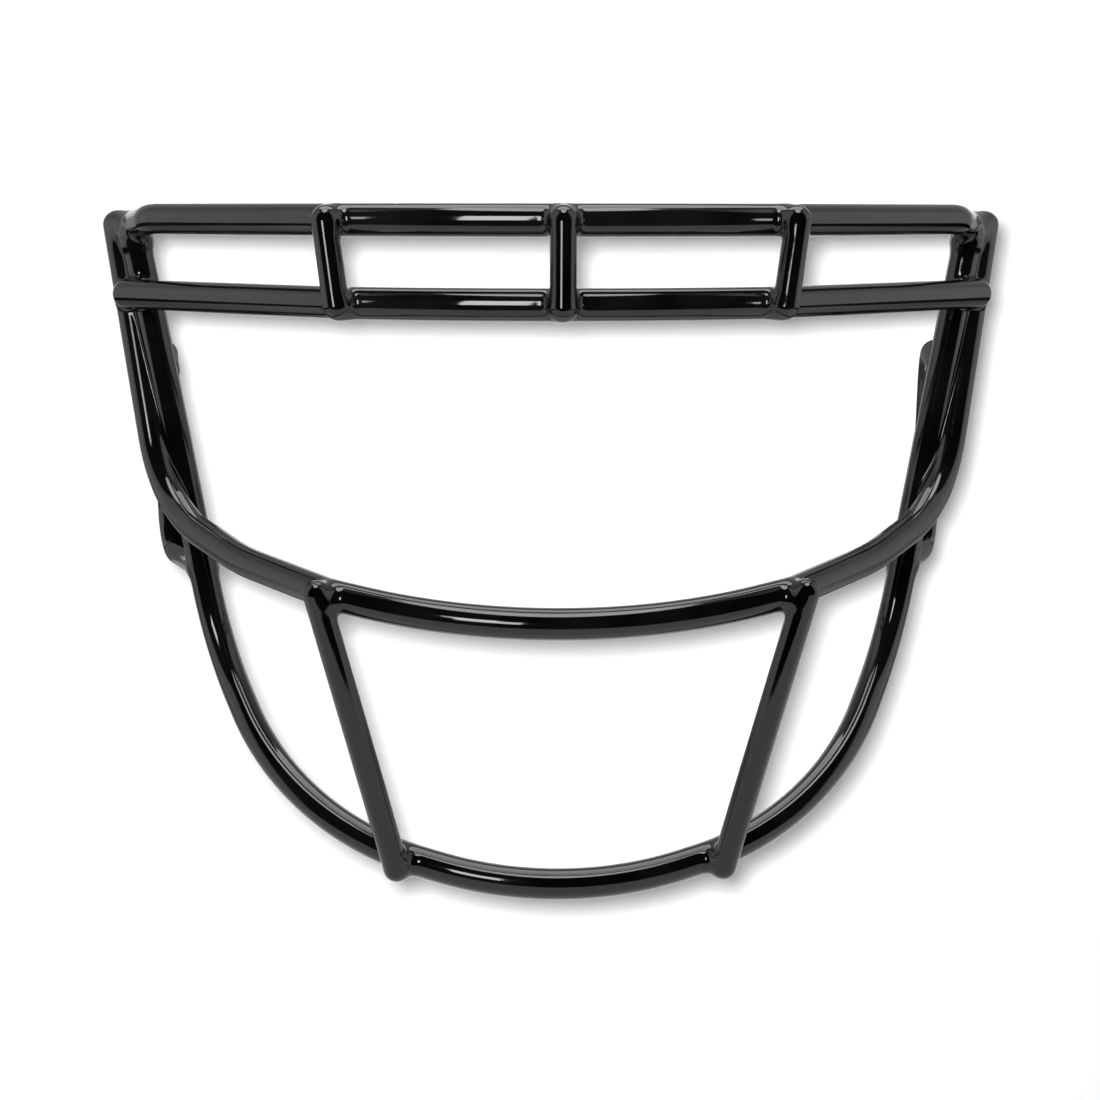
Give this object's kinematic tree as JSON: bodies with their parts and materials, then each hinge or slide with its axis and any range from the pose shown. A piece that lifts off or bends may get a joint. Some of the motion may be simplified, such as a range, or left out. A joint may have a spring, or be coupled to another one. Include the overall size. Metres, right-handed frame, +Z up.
{
  "type": "football helmet facemask",
  "caption": "Open wire face guard of bent, crossed and welded round bars with a glossy black coat, for clipping to the front of a football helmet.",
  "frame": {"origin": "on the upper brow bar's axis, at the middle of its bow, where the helmet's brow edge sits", "axes": "-Y to the front, away from the face; +X to the right as seen from the front; +Z up"},
  "size_m": [0.2354, 0.1214, 0.1661],
  "materials": {
    "steel_wire": "drawn low-carbon steel wire, matt",
    "coat": "glossy black dipped polymer with a fine ripple",
    "weld": "dull resistance weld flash"
  },
  "bodies": {
    "root": {"upper_brow_bar_core": "steel_wire", "upper_brow_bar_coat": "coat", "lower_brow_bar_core": "steel_wire", "lower_brow_bar_coat": "coat", "centre_tie_core": "steel_wire", "centre_tie_coat": "coat", "left_tie_core": "steel_wire", "left_tie_coat": "coat", "right_tie_core": "steel_wire", "right_tie_coat": "coat", "mouth_bar_core": "steel_wire", "mouth_bar_coat": "coat", "jaw_bar_core": "steel_wire", "jaw_bar_coat": "coat", "left_chin_bar_core": "steel_wire", "left_chin_bar_coat": "coat", "right_chin_bar_core": "steel_wire", "right_chin_bar_coat": "coat", "left_side_loop_core": "steel_wire", "left_side_loop_coat": "coat", "right_side_loop_core": "steel_wire", "right_side_loop_coat": "coat", "tie_welds": "weld", "brow_end_welds": "weld", "upright_welds": "weld", "chin_bar_welds": "weld", "side_loop_welds": "weld"}
  },
  "joints": []
}
